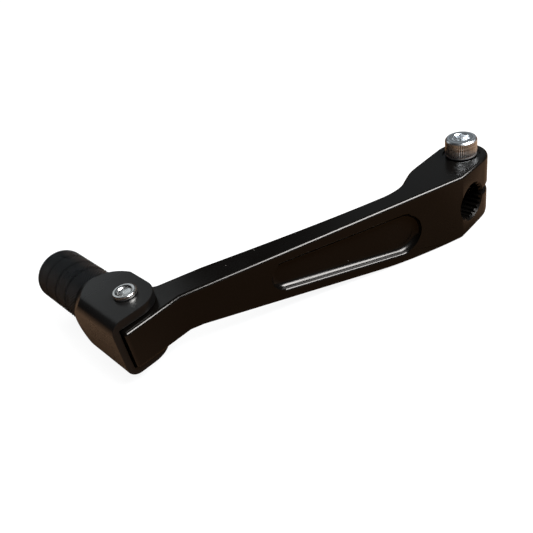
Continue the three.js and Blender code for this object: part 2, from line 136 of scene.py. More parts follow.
def sweep(first: Point, bend: Point, last: Point, steps: int) -> list[Point]:
    """Points along a curve that leaves one point and reaches another towards a bend point.

    Args:
        first: Where the curve starts.
        bend: The point that both its ends aim at.
        last: Where it ends.
        steps: How many straight pieces it has.

    Returns:
        The points, ends included.
    """
    made = []
    for i in range(steps + 1):
        t = i / steps
        weights = ((1 - t) ** 2, 2 * t * (1 - t), t**2)
        made.append(tuple(sum(w * p[k] for w, p in zip(weights, (first, bend, last))) for k in (0, 1)))
    return made


# ---- The bench ----


class Workpiece:
    """One mesh, begun as a primitive and shaped by operators."""

    def __init__(self, name: str) -> None:
        """Takes the primitive just added.

        Args:
            name: The piece's name.
        """
        self.obj = bpy.context.active_object
        self.obj.name = name
        self.obj.data.name = name

    @staticmethod
    def clear() -> None:
        """Deselects everything, so that the next operator acts on one piece alone."""
        bpy.ops.object.select_all(action="DESELECT")

    def hold(self) -> "Workpiece":
        """Makes the piece the one selected and active object.

        Returns:
            The workpiece.
        """
        self.clear()
        self.obj.select_set(True)
        bpy.context.view_layer.objects.active = self.obj
        return self

    def edit(self) -> "Workpiece":
        """Opens the piece alone in edit mode, with all of it selected.

        Returns:
            The workpiece, in edit mode.
        """
        self.hold()
        bpy.ops.object.mode_set(mode="EDIT")
        bpy.ops.mesh.select_mode(type="VERT")
        bpy.ops.mesh.select_all(action="SELECT")
        return self

    def leave(self) -> "Workpiece":
        """Closes edit mode, with the piece selected and active."""
        bpy.ops.object.mode_set(mode="OBJECT")
        return self

    def select(self, part: Part, test: Callable) -> "Workpiece":
        """Selects the parts of the mesh that pass a test, and no others.

        Args:
            part: Vertices, edges or faces.
            test: Says of one mesh element whether it is selected.

        Returns:
            The workpiece, in edit mode.
        """
        bpy.ops.mesh.select_mode(type=part.name)
        bpy.ops.mesh.select_all(action="DESELECT")
        mesh = bmesh.from_edit_mesh(self.obj.data)
        for element in getattr(mesh, part.value):
            if test(element):
                element.select_set(True)
        mesh.select_flush_mode()
        bmesh.update_edit_mesh(self.obj.data)
        return self

    def bevel(self, width: float, segments: int, material: int = -1) -> "Workpiece":
        """Rounds the selected edges, in their own material or in another."""
        bpy.ops.mesh.bevel(offset=width, segments=segments, affect="EDGES", material=material)
        return self

    def tidy(self) -> "Workpiece":
        """Merges doubles and turns the faces outwards.

        Returns:
            The workpiece, in edit mode.
        """
        bpy.ops.mesh.select_all(action="SELECT")
        bpy.ops.mesh.remove_doubles(threshold=NEAR)
        bpy.ops.mesh.normals_make_consistent(inside=False)
        return self

    def place(self, at: Sequence[float], axis: Axis = Axis.UP) -> "Workpiece":
        """Turns and moves the piece into place, with the place held in its mesh.

        Args:
            at: Where the piece's own origin goes.
            axis: Where its own Z points.

        Returns:
            The workpiece, in object mode.
        """
        self.hold()
        self.obj.rotation_euler = axis.value
        self.obj.location = at
        bpy.ops.object.transform_apply(location=True, rotation=True, scale=True)
        return self

    def combine(self, cut: Cut, *tools: "Workpiece") -> "Workpiece":
        """Cuts the piece with each tool in turn, and puts the tools away.

        Args:
            cut: Whether the tool's shape is taken away or is all that stays.
            tools: The cutting shapes.

        Returns:
            The workpiece, in object mode.
        """
        for tool in tools:
            self.hold()
            bpy.ops.object.modifier_add(type="BOOLEAN")
            modifier = self.obj.modifiers[-1]
            modifier.operation = cut.value
            modifier.solver = "EXACT"
            modifier.object = tool.obj
            bpy.ops.object.modifier_apply(modifier=modifier.name)
            tool.hold()
            bpy.ops.object.delete()
        return self

    def finish(self, body: str, slot: str, nodes: Sequence[str], *materials: bpy.types.Material) -> None:
        """Smooths and dresses the piece, and hands it over to its body.

        Args:
            body: The CAD body that it rides on.
            slot: The record's material slot; not used.
            nodes: The CAD nodes that it stands for.
            materials: The finish of its faces, and of its rubbed edges where it has any.
        """
        self.hold()
        bpy.ops.object.shade_smooth_by_angle(angle=SMOOTH_ANGLE)
        bpy.ops.object.modifier_add(type="WEIGHTED_NORMAL")
        weigh = self.obj.modifiers[-1]
        weigh.keep_sharp = True
        weigh.weight = 100
        bpy.ops.object.modifier_apply(modifier=weigh.name)
        for material in materials:
            self.obj.data.materials.append(material)
        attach(self.obj, body)
        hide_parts(*nodes)
        LOG.info("%s: %d faces on %s", self.obj.name, len(self.obj.data.polygons), body)


def box(name: str, low: Sequence[float], high: Sequence[float]) -> Workpiece:
    """A block between two corners.

    Args:
        name: The piece's name.
        low: Its lowest corner.
        high: Its highest corner.

    Returns:
        The block, in object mode.
    """
    Workpiece.clear()
    middle = [(a + b) / 2 for a, b in zip(low, high)]
    size = [b - a for a, b in zip(low, high)]
    bpy.ops.mesh.primitive_cube_add(size=1, location=middle, scale=size)
    bpy.ops.object.transform_apply(location=True, rotation=True, scale=True)
    return Workpiece(name)


def prism(name: str, outline: Sequence[Sequence[float]], depth: Sequence[float]) -> Workpiece:
    """A shape drawn vertex by vertex, filled and drawn out into a solid.

    Args:
        name: The piece's name.
        outline: Its corners in order, in space.
        depth: How far and which way it is drawn out.

    Returns:
        The solid, in object mode.
    """
    Workpiece.clear()
    corners = [Vector(p) for p in outline]
    bpy.ops.mesh.primitive_plane_add(size=MM, location=(0, 0, 0))
    piece = Workpiece(name).edit()
    bpy.ops.mesh.merge(type="CENTER")
    bpy.ops.transform.translate(value=corners[0])
    for here, following in zip(corners, corners[1:] + corners[:1]):
        bpy.ops.mesh.extrude_vertices_move(TRANSFORM_OT_translate={"value": following - here})
    piece.tidy()
    bpy.ops.mesh.edge_face_add()
    bpy.ops.mesh.extrude_region_move(TRANSFORM_OT_translate={"value": Vector(depth)})
    return piece.tidy().leave()


def turned(name: str, stations: Sequence[Station], count: int = 64) -> Workpiece:
    """A body of revolution about Z, drawn out ring by ring.

    Args:
        name: The piece's name.
        stations: Radius and height from one end of its profile to the other. A profile that comes
            back to its start makes a tube. Any other has flat ends.
        count: How many sides it has.

    Returns:
        The body, in object mode.
    """
    Workpiece.clear()
    tube = stations[0] == stations[-1]
    radius, height = stations[0]
    bpy.ops.mesh.primitive_circle_add(vertices=count, radius=radius, fill_type="NOTHING" if tube else "NGON")
    piece = Workpiece(name).edit()
    bpy.ops.transform.translate(value=(0, 0, height))
    for following, level in stations[1:]:
        step = {"value": (0, 0, level - height)}
        bpy.ops.mesh.extrude_region_move(TRANSFORM_OT_translate=step)
        size = following / radius
        bpy.ops.transform.resize(value=(size, size, 1), center_override=(0, 0, level))
        radius, height = following, level
    return piece.tidy().leave()


def hexagon(across_flats: float, low: float, high: float) -> Workpiece:
    """A six-sided socket tool with a conical point."""
    corner = across_flats / math.sqrt(3)
    point = [(0.1 * corner, low - 0.4 * corner), (corner, low), (corner, high)]
    return turned("socket_tool", point, 6)


def countersink(radius: float, depth: float, high: float) -> Workpiece:
    """A conical tool that eases a hole's mouth at a height."""
    return turned("ease_tool", [(radius - 2 * depth, high - 2 * depth), (radius + depth, high + depth)])


def socket_tools(across_flats: float, depth: float, high: float) -> tuple[Workpiece, Workpiece]:
    """The hexagon socket of a fastener's head and its eased mouth.

    Args:
        across_flats: The socket's width.
        depth: How deep it is.
        high: Height of the head's top.

    Returns:
        The two tools.
    """
    socket = hexagon(across_flats, high - depth, high + MM)
    return socket, countersink(SOCKET_MOUTH * across_flats, SOCKET_EASE, high)


def threads(radius: float, low: float, high: float, pitch: float) -> list[Station]:
    """Profile of a threaded shank.

    Args:
        radius: Radius at the thread's crests.
        low: Height where the thread starts.
        high: Height where it ends.
        pitch: Distance from one crest to the next.

    Returns:
        Radius and height of each crest and root.
    """
    deep, flank = 0.55, 0.45
    root = radius - deep * pitch
    count = round((high - low) / pitch)
    made = []
    for turn in range(count):
        foot = low + turn * pitch
        made += [(root, foot), (radius, foot + flank * pitch), (radius, foot + (1 - flank) * pitch)]
    return made + [(root, low + count * pitch)]


# ---- Finishes ----


class Tree:
    """A node tree that is filled node by node."""

    def __init__(self, tree: bpy.types.NodeTree) -> None:
        """Takes the tree.

        Args:
            tree: A material's tree or a group's.
        """
        self.tree = tree

    def add(self, kind: str, **values: object) -> Node:
        """Adds one node.

        Args:
            kind: The node's type.
            values: Settings of the node, or values and links of its inputs by name, with spaces as
                underscores.

        Returns:
            The node.
        """
        node = self.tree.nodes.new(kind)
        for name, value in values.items():
            socket = node.inputs.get(name.replace("_", " "))
            if hasattr(node, name):
                setattr(node, name, value)
            elif isinstance(value, Socket):
                self.tree.links.new(value, socket)
            else:
                socket.default_value = value
        return node

    def feed(self, node: Node, **links: Socket) -> None:
        """Links values to a node's inputs by name, with spaces as underscores."""
        for name, value in links.items():
            self.tree.links.new(value, node.inputs[name.replace("_", " ")])

    def mix(self, share: Socket, low: Colour | Socket, high: Colour | Socket) -> Socket:
        """A colour between two others.

        Args:
            share: How much of the high colour is in it, from 0 to 1.
            low: The colour at share 0, or a link to it.
            high: The colour at share 1, or a link to it.

        Returns:
            The colour.
        """
        node = self.add("ShaderNodeMix", data_type="RGBA")
        self.tree.links.new(share, node.inputs[0])
        first, second = (socket for socket in node.inputs if socket.type == "RGBA")
        for socket, colour in ((first, low), (second, high)):
            if isinstance(colour, Socket):
                self.tree.links.new(colour, socket)
            else:
                socket.default_value = (*colour, 1)
        return next(socket for socket in node.outputs if socket.type == "RGBA")

    def span(self, value: Socket, low: float, high: float, *ends: float) -> Socket:
        """Maps a value's range on to another.

        Args:
            value: The value.
            low: Where its range starts.
            high: Where its range ends.
            ends: What the two ends become, 0 and 1 if they aren't given.

        Returns:
            The mapped value, held between the ends.
        """
        first, last = ends or (0, 1)
        node = self.add("ShaderNodeMapRange", Value=value)
        for name, number in (("From Min", low), ("From Max", high), ("To Min", first), ("To Max", last)):
            node.inputs[name].default_value = number
        return node.outputs[0]

    def math(self, operation: str, *values: object) -> Socket:
        """One sum of numbers or links.

        Args:
            operation: Which sum it is.
            values: What goes into it, in order.

        Returns:
            The result.
        """
        node = self.add("ShaderNodeMath", operation=operation)
        for socket, value in zip(node.inputs, values):
            if isinstance(value, Socket):
                self.tree.links.new(value, socket)
            else:
                socket.default_value = value
        return node.outputs[0]


def group(name: str, inputs: dict[str, float], outputs: Sequence[str]) -> tuple[Tree, Node, Node]:
    """An empty shader node group with named sockets.

    Args:
        name: The group's name.
        inputs: The default of each number that it takes in.
        outputs: The numbers that it puts out.

    Returns:
        Its tree, and its input and output nodes.
    """
    made = bpy.data.node_groups.new(name, "ShaderNodeTree")
    for socket, value in inputs.items():
        made.interface.new_socket(socket, in_out="INPUT", socket_type="NodeSocketFloat").default_value = value
    for socket in outputs:
        made.interface.new_socket(socket, in_out="OUTPUT", socket_type="NodeSocketFloat")
    tree = Tree(made)
    return tree, tree.add("NodeGroupInput"), tree.add("NodeGroupOutput")


def make_grain() -> bpy.types.NodeTree:
    """Fine blasted grain under an anodised skin, with broad uneven patches.

    Returns:
        The node group.
    """
    tree, given, put = group("BlastedGrain", {"Grain": 2600, "Patches": 60}, ("Height", "Unevenness"))
    place = tree.add("ShaderNodeTexCoord").outputs["Object"]
    fine = tree.add("ShaderNodeTexNoise", Vector=place, Scale=given.outputs["Grain"], Detail=2.0)
    broad = tree.add("ShaderNodeTexNoise", Vector=place, Scale=given.outputs["Patches"], Detail=4.0)
    tree.feed(put, Height=fine.outputs["Fac"], Unevenness=broad.outputs["Fac"])
    return tree.tree


def make_specks() -> bpy.types.NodeTree:
    """Small scattered specks, such as dust or worn points, of which only a few cells have one.

    Returns:
        The node group.
    """
    tree, given, put = group("Specks", {"Cells": 300, "Size": 0.1, "Share": 0.2}, ("Mask",))
    place = tree.add("ShaderNodeTexCoord").outputs["Object"]
    cells = tree.add("ShaderNodeTexVoronoi", Vector=place, Scale=given.outputs["Cells"])
    near = tree.math("LESS_THAN", cells.outputs["Distance"], given.outputs["Size"])
    colour = tree.add("ShaderNodeSeparateXYZ", Vector=cells.outputs["Color"]).outputs["X"]
    chosen = tree.math("LESS_THAN", colour, given.outputs["Share"])
    tree.feed(put, Mask=tree.math("MULTIPLY", near, chosen))
    return tree.tree


def make_rub() -> bpy.types.NodeTree:
    """Patchy wear along an edge, as a mask that is 1 where the skin is rubbed through.

    Returns:
        The node group.
    """
    tree, given, put = group("EdgeRub", {"Patches": 500, "Share": 0.3}, ("Mask",))
    place = tree.add("ShaderNodeTexCoord").outputs["Object"]
    noise = tree.add("ShaderNodeTexNoise", Vector=place, Scale=given.outputs["Patches"], Detail=3.0)
    crest, fade = 0.78, 0.06
    limit = tree.math("SUBTRACT", crest, given.outputs["Share"])
    over = tree.math("SUBTRACT", noise.outputs["Fac"], limit)
    tree.feed(put, Mask=tree.span(over, 0.0, fade))
    return tree.tree


def make_lathe_marks() -> bpy.types.NodeTree:
    """Fine rings round an upright or outward axis, as a lathe leaves them, and the distance from it.

    Returns:
        The node group.
    """
    sockets = {"Centre X": 0, "Centre Y": 0, "Centre Z": 0, "Upright": 1, "Fineness": 3000}
    tree, given, put = group("LatheMarks", sockets, ("Value", "Radius"))
    place = tree.add("ShaderNodeTexCoord").outputs["Object"]
    parts = tree.add("ShaderNodeSeparateXYZ", Vector=place)
    x, y, z = (tree.math("SUBTRACT", parts.outputs[a], given.outputs["Centre " + a]) for a in "XYZ")
    upright = given.outputs["Upright"]
    other = tree.math("SUBTRACT", 1.0, upright)
    side = tree.math("ADD", tree.math("MULTIPLY", y, upright), tree.math("MULTIPLY", z, other))
    along = tree.math("ADD", tree.math("MULTIPLY", z, upright), tree.math("MULTIPLY", y, other))
    squares = [tree.math("POWER", offset, 2.0) for offset in (x, side)]
    radius = tree.math("SQRT", tree.math("ADD", *squares))
    rings = tree.add("ShaderNodeCombineXYZ", X=radius, Y=along)
    fineness = given.outputs["Fineness"]
    noise = tree.add("ShaderNodeTexNoise", Vector=rings.outputs[0], Scale=fineness, Detail=2.0)
    tree.feed(put, Value=noise.outputs["Fac"], Radius=radius)
    return tree.tree


class Effects:
    """The node groups that the finishes share."""

    grain = make_grain()
    specks = make_specks()
    rub = make_rub()
    lathe = make_lathe_marks()


def lathe_axis(centre: Sequence[float], axis: Axis) -> dict[str, float]:
    """Settings that put the lathe marks' axis through a point.

    Args:
        centre: The point.
        axis: Which way the axis runs.

    Returns:
        Each of the group's inputs and its value.
    """
    made = {"Centre " + letter: value for letter, value in zip("XYZ", centre)}
    return made | {"Upright": 1.0 if axis is Axis.UP else 0.0}


def begin(name: str, **values: object) -> tuple[bpy.types.Material, Tree, Node]:
    """A new material with one Principled shader.

    Args:
        name: The material's name.
        values: Constant values of the shader's sockets, with spaces as underscores.

    Returns:
        The material, its tree and the shader.
    """
    material = bpy.data.materials.new(name)
    material.use_nodes = True
    tree = Tree(material.node_tree)
    material.node_tree.nodes.clear()
    shader = tree.add("ShaderNodeBsdfPrincipled")
    for socket, value in values.items():
        shader.inputs[socket.replace("_", " ")].default_value = value
    tree.add("ShaderNodeOutputMaterial", Surface=shader.outputs[0])
    return material, tree, shader


@dataclass(frozen=True)
class BlackAnodise:
    """Satin black anodised aluminium, on open faces, on rubbed edges and on a knurl."""

    colour: Colour = (0.0014, 0.0011, 0.0009)
    tint: Colour = (1.0, 0.93, 0.87)
    bare: Colour = (0.55, 0.52, 0.49)
    dust: Colour = (0.22, 0.2, 0.18)
    # Colour of a knurl's points, a painted highlight, and the power that keeps it to the points.
    painted_point_highlight: Colour = (0.06, 0.062, 0.065)
    highlight_falloff: float = 4.0
    gloss: tuple[float, float] = (0.19, 0.29)
    patches: tuple[float, float] = (0.3, 0.7)
    specular: float = 0.34
    relief: float = 0.0000015
    dust_cells: float = 420.0
    dust_size: float = 0.045
    dust_share: float = 0.06

    def skin(self, name: str) -> tuple[bpy.types.Material, Tree, Node, Node]:
        """A material with the skin's uneven gloss and no colour yet.

        Args:
            name: The material's name.

        Returns:
            The material, its tree, its shader and its grain.
        """
        shine = {"Specular_IOR_Level": self.specular, "Specular_Tint": (*self.tint, 1)}
        material, tree, shader = begin(name, **shine)
        grain = tree.add("ShaderNodeGroup", node_tree=Effects.grain)
        tree.feed(shader, Roughness=tree.span(grain.outputs["Unevenness"], *self.patches, *self.gloss))
        return material, tree, shader, grain

    def face(self, name: str) -> bpy.types.Material:
        """The finish of open faces.

        Args:
            name: The material's name.

        Returns:
            The material.
        """
        material, tree, shader, grain = self.skin(name)
        dust = tree.add("ShaderNodeGroup", node_tree=Effects.specks, Cells=self.dust_cells,
                        Size=self.dust_size, Share=self.dust_share)
        bump = tree.add("ShaderNodeBump", Height=grain.outputs["Height"], Distance=self.relief, Strength=1.0)
        dusty = tree.mix(dust.outputs["Mask"], self.colour, self.dust)
        tree.feed(shader, Base_Color=dusty, Normal=bump.outputs[0])
        return material

    def edge(self, name: str, share: float) -> bpy.types.Material:
        """The finish of rubbed edges.

        Args:
            name: The material's name.
            share: How much of the skin is rubbed through.

        Returns:
            The material.
        """
        material, tree, shader, _ = self.skin(name)
        rub = tree.add("ShaderNodeGroup", node_tree=Effects.rub, Share=share).outputs["Mask"]
        tree.feed(shader, Base_Color=tree.mix(rub, self.colour, self.bare), Metallic=rub)
        return material

    def points(self, name: str, centre: Sequence[float], low: float, high: float) -> bpy.types.Material:
        """The finish of a knurl, dark in its grooves as painted shade and paler on its points as a painted
        highlight.

        Args:
            name: The material's name.
            centre: A point on the knurled piece's outward axis.
            low: Radius at the bottom of the grooves.
            high: Radius at the points.

        Returns:
            The material.
        """
        material, tree, shader, _ = self.skin(name)
        marks = tree.add("ShaderNodeGroup", node_tree=Effects.lathe, **lathe_axis(centre, Axis.OUTWARD))
        height = tree.span(marks.outputs["Radius"], low, high)
        # Painted highlight that grows towards the points, leaving painted shade in the grooves.
        painted_point_highlight = tree.math("POWER", height, self.highlight_falloff)
        tree.feed(shader, Base_Color=tree.mix(painted_point_highlight, self.colour, self.painted_point_highlight))
        return material


@dataclass(frozen=True)
class TurnedMetal:
    """Bright or dark metal with the fine rings that a lathe leaves."""

    light: Colour = (0.93, 0.92, 0.9)
    dark: Colour = (0.78, 0.76, 0.73)
    shades: tuple[float, float] = (0.35, 0.65)
    gloss: tuple[float, float] = (0.2, 0.34)
    rings: tuple[float, float] = (0.3, 0.7)
    relief: float = 0.000002
    fineness: float = 2600.0

    def material(self, name: str, centre: Sequence[float], axis: Axis) -> bpy.types.Material:
        """The finish, centred on a piece's axis.

        Args:
            name: The material's name.
            centre: A point on the axis.
            axis: Which way the axis runs.

        Returns:
            The material.
        """
        material, tree, shader = begin(name, Metallic=1.0)
        place = lathe_axis(centre, axis)
        marks = tree.add("ShaderNodeGroup", node_tree=Effects.lathe, Fineness=self.fineness, **place)
        value = marks.outputs["Value"]
        bump = tree.add("ShaderNodeBump", Height=value, Distance=self.relief, Strength=1.0)
        tree.feed(
            shader,
            Base_Color=tree.mix(tree.span(value, *self.shades), self.dark, self.light),
            Roughness=tree.span(value, *self.rings, *self.gloss),
            Normal=bump.outputs[0],
        )
        return material


# ---- Tests for selections ----


def faces_pass(edge: Edge, first: Callable, second: Callable) -> bool:
    """Says whether an edge's two faces pass one test each.

    Args:
        edge: The edge.
        first: The test of one face.
        second: The test of the other.

    Returns:
        True if one face passes the first test and the other passes the second.
    """
    if len(edge.link_faces) != 2:
        return False
    a, b = edge.link_faces
    return (first(a) and second(b)) or (first(b) and second(a))


def upward(face: Face) -> bool:
    """True for a face that looks up, within about 18 degrees."""
    return face.normal.z > 0.95


def downward(face: Face) -> bool:
    """True for a face that looks down, within about 25 degrees."""
    return face.normal.z < -0.9


def sideways(face: Face) -> bool:
    """True for an upright face, within about 3 degrees."""
    return abs(face.normal.z) < 0.05


def sharp(edge: Edge) -> bool:
    """True for an edge whose two faces meet at more than the sharp angle."""
    return len(edge.link_faces) == 2 and edge.calc_face_angle(0) > SHARP_ANGLE


def middle_of(edge: Edge) -> Vector:
    """The middle of an edge."""
    return (edge.verts[0].co + edge.verts[1].co) / 2


# ---- The lever ----


@dataclass
class LeverArm:
    """The clamp boss, arm and eye, machined from one bar."""

    boss: float = 0.017
    boss_corner: float = -0.0053
    end_centre: float = 0.00695
    # Where the underside starts to rise at the free end, and the bend of that rise.
    end_rise: tuple[Point, ...] = ((0.005, -0.0102), (0.0146, -0.0092))
    end_rise_top: float = -0.0039
    belly_start: float = -0.034
    # Where the belly is level, and the bend of its far end.
    belly_level: tuple[float, float] = (-0.014, -0.006)
    # Where the boss's outer face runs into the arm, as a place along it and a depth.
    shoulder: tuple[Point, ...] = (
        (-0.006, 0), (-0.009, 0), (-0.0115, 0.0008), (-0.0155, 0.0021), (-0.019, 0.0036))
    teeth: int = 24
    tooth_land: float = 0.3
    tooth_flank: float = 0.2
    tooth_root: float = 0.0062
    tooth_tip: float = 0.00565
    # Height of the clamp slit's middle, and its width.
    slit: Point = (0.0004, 0.0016)
    seat: float = 0.0112
    seat_radius: float = 0.0059
    bolt_hole: float = 0.00325
    angle: float = math.radians(20.8)
    # Places along the arm and its thickness there, at its root, hollow, swell and tip.
    thickness: tuple[Point, ...] = ((0.024, 0.0072), (0.046, 0.007), (0.084, 0.0097), (0.092, 0.00965))
    rounding: float = 0.001
    corner_rounding: float = 0.0009
    edge_ease: float = 0.00022
    edge_rub: float = 0.22
    tooth_ease: float = 0.00018
    bore_mouth: float = 0.00035
    top: float = 0.0116
    top_slope: float = 0.0165
    under_slope: float = -0.1404
    fold: float = -0.0888
    pocket_depth: float = 0.0022
    pocket_fillet: float = 0.0019
    pocket_ease: float = 0.0001
    # Place along the arm, height and radius of each end of a pocket.
    pocket_wide: Place = (0.0224, -0.0006, 0.0068)
    pocket_narrow: Place = (0.0623, 0.0024, 0.0046)
    # How far the arm's sides leave their flat planes.
    hollow_reach: float = 0.0016
    eye: float = 0.0083
    eye_fillet: float = 0.003
    eye_bottom: float = -0.0026
    eye_reach: float = 0.01055
    eye_hole: float = 0.0039
    chamber: float = 0.0052
    chamber_top: float = 0.0029
    # Offset from the pivot, width and reach of the slot for the spring's leg.
    leg_slot: Place = (0.0038, 0.0018, 0.0056)
    pivot: Vector = field(default_factory=PIVOT.copy)
    bolt: Vector = field(default_factory=lambda: sum(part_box("pinch_bolt"), Vector()) / 2)

    def point(self, along: float, across: float) -> Point:
        """A point seen from above, along the arm from the boss corner and across to the outer side."""
        c, s = math.cos(self.angle), math.sin(self.angle)
        return (self.boss_corner - along * c + across * s, along * s + across * c)

    def plan(self) -> list[Point]:
        """The outline seen from above, counterclockwise from the free end.

        Returns:
            Its points.
        """
        root, hollow, swell, tip = (Vector(self.point(*place)) for place in self.thickness)
        pivot = self.pivot.xy
        along = (tip - swell).normalized()
        across = Vector((along.y, -along.x))
        rise = self.eye_fillet - (pivot - swell).dot(across)
        reach = math.sqrt((self.eye + self.eye_fillet) ** 2 - rise**2)
        centre = swell + along * ((pivot - swell).dot(along) - reach) + across * self.eye_fillet
        out = centre - pivot
        eye_angle = math.atan2(out.y, out.x)
        line_angle = math.atan2(-across.y, -across.x)
        near = pivot.y - self.eye_reach
        shoulder = [(x, self.boss - inward) for x, inward in self.shoulder]
        half = self.boss / 2
        made = arc((self.end_centre, half), half, -math.pi / 2, math.pi / 2, 40)
        made += sweep(*shoulder[:3], 6)
        made += sweep(*shoulder[3:], tuple(root), 8)
        made += sweep(tuple(root), tuple(hollow), tuple(swell), 14)[1:]
        made += arc(tuple(centre), self.eye_fillet, line_angle, eye_angle - math.pi, 8)
        made += arc(tuple(pivot), self.eye, eye_angle, math.pi, 36)[1:]
        made += [(pivot.x - self.eye, near)]
        made += [(self.boss_corner - near / math.tan(self.angle), near), (self.boss_corner, 0)]
        return made

    def side(self) -> list[Point]:
        """The outline seen from the side: the sloping top and the stepped, bellied underside.

        Returns:
            Its points, counterclockwise from the top of the eye's end.
        """
        left, right = self.pivot.x - BEYOND, self.end_centre + self.boss / 2 + self.rounding
        start = self.eye_bottom + self.under_slope * (self.belly_start - self.fold)
        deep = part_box("lever_arm")[0].z
        level = [self.top + self.top_slope * x for x in (left, right)]
        run_out = (self.belly_start + (deep - start) / self.under_slope, deep)
        level_end, bend = ((x, deep) for x in self.belly_level)
        made = [(left, level[0]), (left, self.eye_bottom), (self.fold, self.eye_bottom)]
        made += sweep((self.belly_start, start), run_out, level_end, 8)
        made += sweep(level_end, bend, self.end_rise[0], 8)[1:]
        made += sweep(*self.end_rise, (right, self.end_rise_top), 14)[1:]
        return made + [(right, level[1])]

    def blank(self) -> Workpiece:
        """The bar in plan and side.

        Returns:
            The uncut lever, in object mode.
        """
        plan = [(x, y, -BEYOND) for x, y in self.plan()]
        piece = prism("lever_arm_machined", plan, (0, 0, 2 * BEYOND))
        side = prism("side_tool", [(x, -BEYOND, z) for x, z in self.side()], (0, 3 * BEYOND, 0))
        piece.edit().select(Part.EDGE, self.is_eye_corner).bevel(self.corner_rounding, 4).leave()
        return piece.combine(Cut.COMMON, side)

    def across(self) -> Vector:
        """The direction square to the arm's inner side, towards its outer side."""
        return Vector((math.sin(self.angle), math.cos(self.angle), 0))

    def is_outline(self, edge: Edge, lies: Callable) -> bool:
        """Says whether an edge borders the lever's outline seen from above, away from the bores.

        Args:
            edge: The edge.
            lies: Says whether a face belongs to the top, or to the underside.

        Returns:
            True if the edge lies between such a face and an upright side.
        """
        spot = edge.verts[0].co.xy
        bores = ((self.bolt, self.seat_radius), (self.pivot, self.chamber), (self.pivot, self.leg_slot[2]))
        clear = all((spot - centre.xy).length > radius + self.edge_ease for centre, radius in bores)
        return clear and faces_pass(edge, lies, sideways)

    def is_eye_corner(self, edge: Edge) -> bool:
        """True for the upright edge at the eye's left near corner."""
        corner = Vector((self.pivot.x - self.eye, self.pivot.y - self.eye_reach))
        return all((v.co.xy - corner).length < 10 * NEAR for v in edge.verts)

    def is_tooth_rim(self, edge: Edge) -> bool:
        """Says whether an edge is part of the splined bore's outline on the boss's outer face.

        Args:
            edge: The edge.

        Returns:
            True if it is.
        """
        ends = [v.co for v in edge.verts]
        reach = self.tooth_root + self.tooth_ease
        in_bore = all(math.hypot(p.x, p.z) < reach for p in ends)
        return sharp(edge) and in_bore and all(abs(p.y - self.boss) < NEAR for p in ends)

    def spline(self) -> Workpiece:
        """The bore's tool, a bar with the gaps between the teeth standing out.

        Returns:
            The tool.
        """
        land, rise = self.tooth_land, self.tooth_land + self.tooth_flank
        corners = ((0, self.tooth_tip), (land, self.tooth_tip), (rise, self.tooth_root),
                   (rise + land, self.tooth_root))
        ring = []
        for tooth in range(self.teeth):
            for share, radius in corners:
                turn = 2 * math.pi * (tooth + share) / self.teeth
                ring.append((radius * math.cos(turn), -BEYOND, radius * math.sin(turn)))
        return prism("spline_tool", ring, (0, 2 * BEYOND, 0))

    def pocket(self, outward: bool) -> Workpiece:
        """The tool for one of the arm's two tapered pockets, with its hollow wall.

        Args:
            outward: True for the pocket in the outer side.

        Returns:
            The tool.
        """
        (a, low, wide), (b, high, narrow) = self.pocket_wide, self.pocket_narrow
        lean = math.atan2(high - low, b - a)
        spread = math.acos((wide - narrow) / math.hypot(b - a, high - low))
        ring = arc((a, low), wide, lean + spread, lean - spread + 2 * math.pi, steps=28)
        ring += arc((b, high), narrow, lean - spread, lean + spread, steps=20)
        across = self.across()
        floor = self.thickness[0][1] - self.pocket_depth if outward else self.pocket_depth
        outline = [(*self.point(along, floor), z) for along, z in ring]
        reach = 4 * self.pocket_depth * (1 if outward else -1)
        tool = prism("pocket_tool", outline, across * reach).edit()
        base = Vector(self.point(0, floor)).to_3d()
        tool.select(Part.EDGE, lambda e: all(abs((v.co - base).dot(across)) < 10 * NEAR for v in e.verts))
        return tool.bevel(self.pocket_fillet, segments=6).leave()

    def build(self, finish: BlackAnodise) -> None:
        """Models and dresses the lever.

        Args:
            finish: Its skin.
        """
        piece = self.blank()
        level, width = self.slit
        slit = (level - width / 2, level + width / 2)
        piece.combine(
            Cut.AWAY,
            box("slit_tool", (0, -BEYOND, slit[0]), (BEYOND, BEYOND, slit[1])),
            self.pocket(False),
            self.pocket(True),
            self.spline(),
            self.mouth(),
        )
        self.bore_bolt(piece)
        self.bore_eye(piece)
        piece.edit().tidy()
        piece.select(Part.EDGE, lambda e: self.is_outline(e, upward)).bevel(self.rounding, segments=5)
        piece.select(Part.EDGE, lambda e: self.is_outline(e, downward)).bevel(self.rounding, segments=4)
        piece.select(Part.EDGE, lambda e: self.is_slit_rim(e, slit)).bevel(self.edge_ease, 2, EDGE)
        piece.select(Part.EDGE, self.is_pocket_rim).bevel(self.pocket_ease, segments=2)
        piece.select(Part.EDGE, self.is_tooth_rim).bevel(self.tooth_ease, 2, EDGE).leave()
        piece.finish("lever", "lever_body", ["lever_arm"], finish.face("satin_black_lever"),
                     finish.edge("rubbed_black_lever", self.edge_rub))

    def is_slit_rim(self, edge: Edge, slit: Point) -> bool:
        """True for the slit's rims outside the bore, given the heights of its two sides."""
        middle = middle_of(edge)
        return sharp(edge) and middle.x > self.tooth_root and min(abs(middle.z - z) for z in slit) < NEAR

    def is_pocket_rim(self, edge: Edge) -> bool:
        """Says whether an edge is part of a pocket's rim.

        Args:
            edge: The edge.

        Returns:
            True if it is.
        """
        middle = middle_of(edge)
        offset = middle - Vector((self.boss_corner, 0, 0))
        side = offset.dot(self.across())
        on_arm = min(abs(side), abs(side - self.thickness[0][1])) < self.hollow_reach
        near = self.point(self.pocket_wide[0] - self.pocket_wide[2] - 4 * MM, 0)[0]
        far = self.point(self.pocket_narrow[0] + self.pocket_narrow[2] + 2 * MM, 0)[0]
        level = abs(middle.z) < self.pocket_wide[2] + 1.7 * MM
        in_pocket = far < middle.x < near and on_arm and level
        return sharp(edge) and in_pocket and not faces_pass(edge, upward, sideways)

